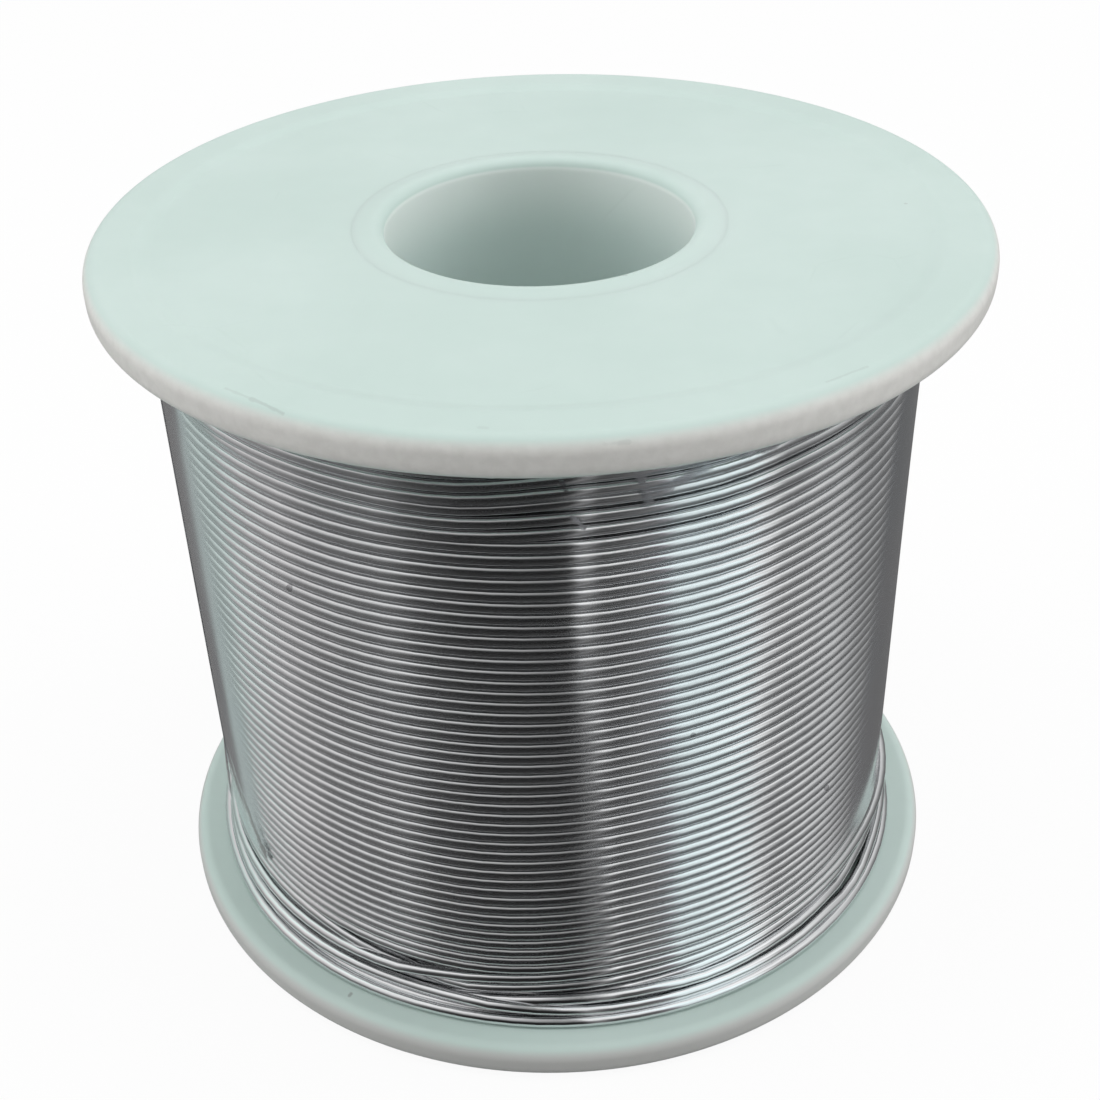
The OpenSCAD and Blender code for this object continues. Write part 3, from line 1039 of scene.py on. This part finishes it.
def film_finish():
    """A thin mirror whose cover grows with the slant, the marks and creases."""
    finish, tree, shader, place = start_finish("clear_wrap_film", Metallic=1.0)
    cloudy = effect(tree, clouds, Vector=place, Scale=70.0)
    specks = effect(tree, dust, Vector=place, Scale=420.0, Share=0.02)
    hairs = effect(tree, scratches, Vector=place, Scale=240.0)
    creased, torn = marked(tree, place, CREASES), marked(tree, place, TORN_CORNER)
    white = math_node(tree, "MAXIMUM", creased, torn)
    colour = mixed(tree, torn, mixed(tree, cloudy, *FILM_SHADES), TORN_GREY)
    normal = bumped(tree, cloudy, 0.2, 0.06)
    # A crease turns a facet of the film upwards, where the tent is brighter.
    upwards = vector_node(tree, "SCALE", (0.0, 0.0, 0.35), Scale=white)
    tilted = vector_node(tree, "NORMALIZE", vector_node(tree, "ADD", normal, upwards))
    slant = add(tree, "ShaderNodeLayerWeight", {
        "Blend": 0.5, "Normal": normal}).outputs["Facing"]
    cover = math_node(tree, "MULTIPLY_ADD", math_node(tree, "POWER", slant, 5.0), 0.15, 0.03)
    edge = ranged(tree, slant, EDGE_FROM, EDGE_TO, 0.0, EDGE_COVER)
    cover = math_node(tree, "MAXIMUM", math_node(tree, "MAXIMUM", cover, edge), white)
    marks = math_node(tree, "MULTIPLY", math_node(tree, "MAXIMUM", specks, hairs), 0.06)
    feed(tree, shader, {"Base Color": colour, "Normal": tilted,
                        "Alpha": math_node(tree, "ADD", cover, marks, clamp=True),
                        "Roughness": ranged(tree, cloudy, 0.0, 1.0, 0.10, 0.16)})
    return finish


clear_film = film_finish()
print("finishes:", [m.name for m in (plastic, bright_wire, dull_wire, amber, clear_film)])

# %% [markdown]
# ## Tying pieces to the model
# Each new piece rides on the model's one body and stands for one CAD node,
# which it hides.

# %% Join pieces, nodes and finishes
DRESSING = [
    (hub_tube, "hub_tube", "reel_plastic", plastic),
    (upper_flange, "upper_flange", "reel_plastic", plastic),
    (lower_flange, "lower_flange", "reel_plastic", plastic),
    (inner_layers, "solder_inner_layers", "solder", dull_wire),
    (winding, "solder_outer_layer", "solder", bright_wire),
    (free_end, "solder_free_end", "solder", dull_wire),
    (flux_core, "flux_core", "rosin", amber),
    (film, "film_wrap", "clear_film", clear_film),
]
for piece, cad_node, slot_name, finish in DRESSING:
    piece.data.materials.append(finish)
    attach(piece, "root")
    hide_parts(cad_node)
print("pieces dressed:", len(DRESSING))

# %% [markdown]
# ## The floor
# The spool stands on a plain white floor. To the camera the floor is as
# white as paper without any extra light on the spool, because its own
# material gives out most of that white. The rest is lit, so the soft shadow
# at the spool's foot stays.

# %% White floor
CLOTH_GREYS = (0.44, 0.44, 0.44, 1), (0.46, 0.46, 0.46, 1)
PAPER_GREY = (0.92, 0.92, 0.92, 1)
GLOW_NEAR, GLOW_FAR = 0.93, 1.0  # how much of the white the floor gives out
GLOW_IN_BORE = 0.15  # as a part of that


def stage_disc(name, radius, z, rings=12, segments=96):
    """A flat disc as a grid: point (i, j) lies at radius * (i / n)^2."""
    r = radius * (np.linspace(0.0, 1.0, rings + 1)[:, None] ** 2 + 1e-6)
    points = around(r, z, once_round(segments))
    return make_piece(name, points, grid_quads(rings + 1, segments, False, True)[:, ::-1])


def floor_finish():
    """Lit cloth, and to the camera mostly a white of the floor's own."""
    finish, tree = bare_finish("white_floor")
    place = add(tree, "ShaderNodeTexCoord").outputs["Object"]
    grain = effect(tree, clouds, Vector=place, Scale=30.0)
    seen = seen_rays(tree)
    cloth = mixed(tree, seen, mixed(tree, grain, *CLOTH_GREYS), PAPER_GREY)
    lit = add(tree, "ShaderNodeBsdfDiffuse", {"Color": cloth})
    paper = add(tree, "ShaderNodeEmission", {"Color": (1, 1, 1, 1), "Strength": 1.0})
    # Far off the floor gives out all of its white, so no horizon shows. At the
    # bottom of the bore it is nearly all lit, so it lies in shade there.
    far = vector_node(tree, "LENGTH", place)
    share = ranged(tree, far, 0.3, 2.0, GLOW_NEAR, GLOW_FAR)
    outside = ranged(tree, far, 11.0 * MM, 12.5 * MM, GLOW_IN_BORE, 1.0)
    share = math_node(tree, "MULTIPLY", seen, math_node(tree, "MULTIPLY", share, outside))
    blend = add(tree, "ShaderNodeMixShader", {
        0: share, 1: lit.outputs[0], 2: paper.outputs[0]})
    add(tree, "ShaderNodeOutputMaterial", {"Surface": blend.outputs[0]})
    return finish


floor = stage_disc("studio_floor", 3000.0, -0.02)
floor.data.materials.append(floor_finish())
floor.visible_glossy = False

# %% [markdown]
# ## What the metal mirrors
# A mirror-bright wire shows the room round it, so the room has to be made
# too. A reflection tent does that: a large globe that only mirror-like rays
# can see. Round the globe run pale cloths and dark gaps, as in a light
# tent, brighter above than below. Each band of height has its own ramp of
# greys round the compass.

# %% The tent's greys
# Each row has a compass angle in degrees (0 towards the camera, + to the
# right), the grey at each of six heights, and a tint.
TENT_HEIGHTS = (-60, -28, -8, 10, 28, 52)
PLAIN, MINT, SKY = (1.0, 1.0, 1.0), (0.92, 1.06, 1.02), (0.92, 1.03, 1.04)
WARM, LILAC = (1.01, 0.99, 0.99), (1.02, 0.96, 1.03)
TENT = [
    (-180, 0.18, 0.18, 0.24, 0.36, 0.60, 0.80, WARM),
    (-140, 0.18, 0.18, 0.22, 0.34, 0.60, 0.80, WARM),
    (-135, 0.46, 0.42, 0.42, 0.46, 0.62, 0.86, MINT),
    (-106, 0.48, 0.36, 0.30, 0.42, 0.76, 1.02, MINT),
    (-102, 0.25, 0.25, 0.34, 0.52, 0.80, 0.98, WARM),
    (-80, 0.12, 0.17, 0.29, 0.44, 0.66, 0.90, WARM),
    (-67, 0.09, 0.14, 0.15, 0.26, 0.62, 0.84, PLAIN),
    (-53, 0.08, 0.12, 0.14, 0.15, 0.54, 0.95, PLAIN),
    (-46, 0.06, 0.11, 0.13, 0.22, 0.38, 0.64, PLAIN),
    (-38, 0.04, 0.06, 0.06, 0.05, 0.14, 0.60, PLAIN),
    (-24, 0.04, 0.03, 0.03, 0.01, 0.06, 0.50, PLAIN),
    (-11, 0.05, 0.02, 0.02, 0.01, 0.04, 0.36, PLAIN),
    (-1, 0.05, 0.02, 0.02, 0.01, 0.04, 0.27, PLAIN),
    (5.5, 0.06, 0.02, 0.03, 0.01, 0.06, 0.27, PLAIN),
    (8, 0.10, 0.24, 0.22, 0.20, 0.42, 1.20, PLAIN),
    (10.5, 0.10, 0.24, 0.20, 0.18, 0.42, 1.20, PLAIN),
    (12.5, 0.12, 0.05, 0.08, 0.05, 0.12, 0.85, PLAIN),
    (20, 0.15, 0.05, 0.12, 0.06, 0.12, 1.00, PLAIN),
    (28, 0.14, 0.15, 0.18, 0.12, 0.14, 0.85, PLAIN),
    (31, 0.14, 0.15, 0.18, 0.30, 0.30, 0.90, LILAC),
    (34, 0.08, 0.14, 0.35, 0.85, 0.85, 1.10, SKY),
    (48, 0.14, 0.16, 0.40, 0.92, 1.15, 1.10, SKY),
    (56, 0.12, 0.13, 0.45, 1.05, 1.20, 1.00, SKY),
    (60, 0.10, 0.13, 0.32, 0.90, 0.95, 0.95, PLAIN),
    (66, 0.08, 0.15, 0.18, 0.32, 0.55, 1.05, PLAIN),
    (84, 0.09, 0.13, 0.25, 0.44, 0.72, 1.10, PLAIN),
    (90, 0.12, 0.14, 0.30, 0.50, 0.72, 0.90, PLAIN),
    (101, 0.13, 0.10, 0.20, 0.25, 0.55, 0.90, PLAIN),
    (112, 0.25, 0.14, 0.16, 0.20, 0.40, 0.75, PLAIN),
    (140, 0.14, 0.14, 0.20, 0.30, 0.50, 0.80, PLAIN),
    (180, 0.18, 0.18, 0.25, 0.40, 0.60, 0.80, PLAIN),
]
TENT_PEAK = 1.5
print("compass points of the tent:", len(TENT))


# %% The tent's cloths
def tent_finish():
    """Grey by compass angle and by height above the level, both in degrees."""
    finish, tree = bare_finish("tent_cloths")
    place = add(tree, "ShaderNodeTexCoord").outputs["Object"]
    way = vector_node(tree, "NORMALIZE", place)
    parts = add(tree, "ShaderNodeSeparateXYZ", {"Vector": way}).outputs
    compass = math_node(tree, "ARCTAN2", parts["X"],
                        math_node(tree, "MULTIPLY", parts["Y"], -1.0))
    along = math_node(tree, "MULTIPLY_ADD", compass, 1 / (2 * math.pi), 0.5)
    height = math_node(tree, "MULTIPLY",
                       math_node(tree, "ARCSINE", parts["Z"]), 180 / math.pi)
    bands = []
    for column in range(len(TENT_HEIGHTS)):
        ramp = add(tree, "ShaderNodeValToRGB", {"Fac": along})
        stops = ramp.color_ramp.elements
        while len(stops) < len(TENT):
            stops.new(1.0)
        for stop, row in zip(stops, TENT):
            stop.position = row[0] / 360 + 0.5
            stop.color = [row[column + 1] * part / TENT_PEAK for part in row[-1]] + [1]
        bands.append(ramp.outputs["Color"])
    colour = bands[0]
    for low, high, band in zip(TENT_HEIGHTS, TENT_HEIGHTS[1:], bands[1:]):
        colour = mixed(tree, ranged(tree, height, low, high, smooth=False), colour, band)
    glow = add(tree, "ShaderNodeEmission", {"Color": colour, "Strength": TENT_PEAK})
    add(tree, "ShaderNodeOutputMaterial", {"Surface": glow.outputs[0]})
    finish.cycles.emission_sampling = "NONE"
    return finish


# %% Hang the tent
def stage_globe(name, radius, rows=48, segments=96):
    """A globe round the aim point; rows run from the south pole to the north."""
    lat = np.linspace(-0.5 * np.pi + 0.01, 0.5 * np.pi - 0.01, rows)[:, None]
    points = radius * around(np.cos(lat), np.sin(lat), once_round(segments))
    points += [0, 0, AIM_HEIGHT / MM]
    return make_piece(name, points, grid_quads(rows, segments, False, True))


tent = stage_globe("reflection_tent", 1200.0)
tent.data.materials.append(tent_finish())
tent.visible_camera = tent.visible_diffuse = tent.visible_transmission = False
tent.visible_volume_scatter = tent.visible_shadow = False

# %% [markdown]
# ## The light
# Plain soft light: an even glow from all sides, and large lamps above and
# at both sides. Together they light a level white face to just about white.

# %% World and lamps
GLOW, SEEN_GLOW = 0.38, 1.0  # what lights the spool, and what the camera sees
world = bpy.data.worlds.new("even_glow")
bpy.context.scene.world = world
world.use_nodes = True
sky = world.node_tree
sky.nodes.clear()
strength = math_node(sky, "MULTIPLY_ADD", seen_rays(sky), SEEN_GLOW - GLOW, GLOW)
glow = add(sky, "ShaderNodeBackground", {"Color": (1, 1, 1, 1), "Strength": strength})
add(sky, "ShaderNodeOutputWorld", {"Surface": glow.outputs[0]})


def soft_lamp(name, place, size, level):
    """A square lamp that faces the spool. level is the share of full white
    that it alone gives a white face turned towards it: power = pi^2 d^2 level."""
    data = bpy.data.lights.new(name, "AREA")
    lamp = bpy.data.objects.new(name, data)
    bpy.context.scene.collection.objects.link(lamp)
    place = Vector(place)
    data.size = size
    data.energy = math.pi**2 * (place - aim).length ** 2 * level
    lamp.matrix_world = Matrix.Translation(place) @ (
        (aim - place).to_track_quat("-Z", "Y").to_matrix().to_4x4())
    lamp.visible_glossy = lamp.visible_camera = False
    print(f"{name}: {data.energy:.2f} W")


# Places and sizes in metres.
soft_lamp("lamp_above", (0.03, 0.04, 0.75), 0.6, 0.52)
soft_lamp("lamp_left", (-0.70, -0.05, 0.30), 0.5, 0.33)
soft_lamp("lamp_right", (0.70, -0.05, 0.25), 0.5, 0.39)

# %% [markdown]
# ## Finish
# The picture is shown with the plain Standard view.

# %% View
bpy.context.scene.view_settings.view_transform = "Standard"
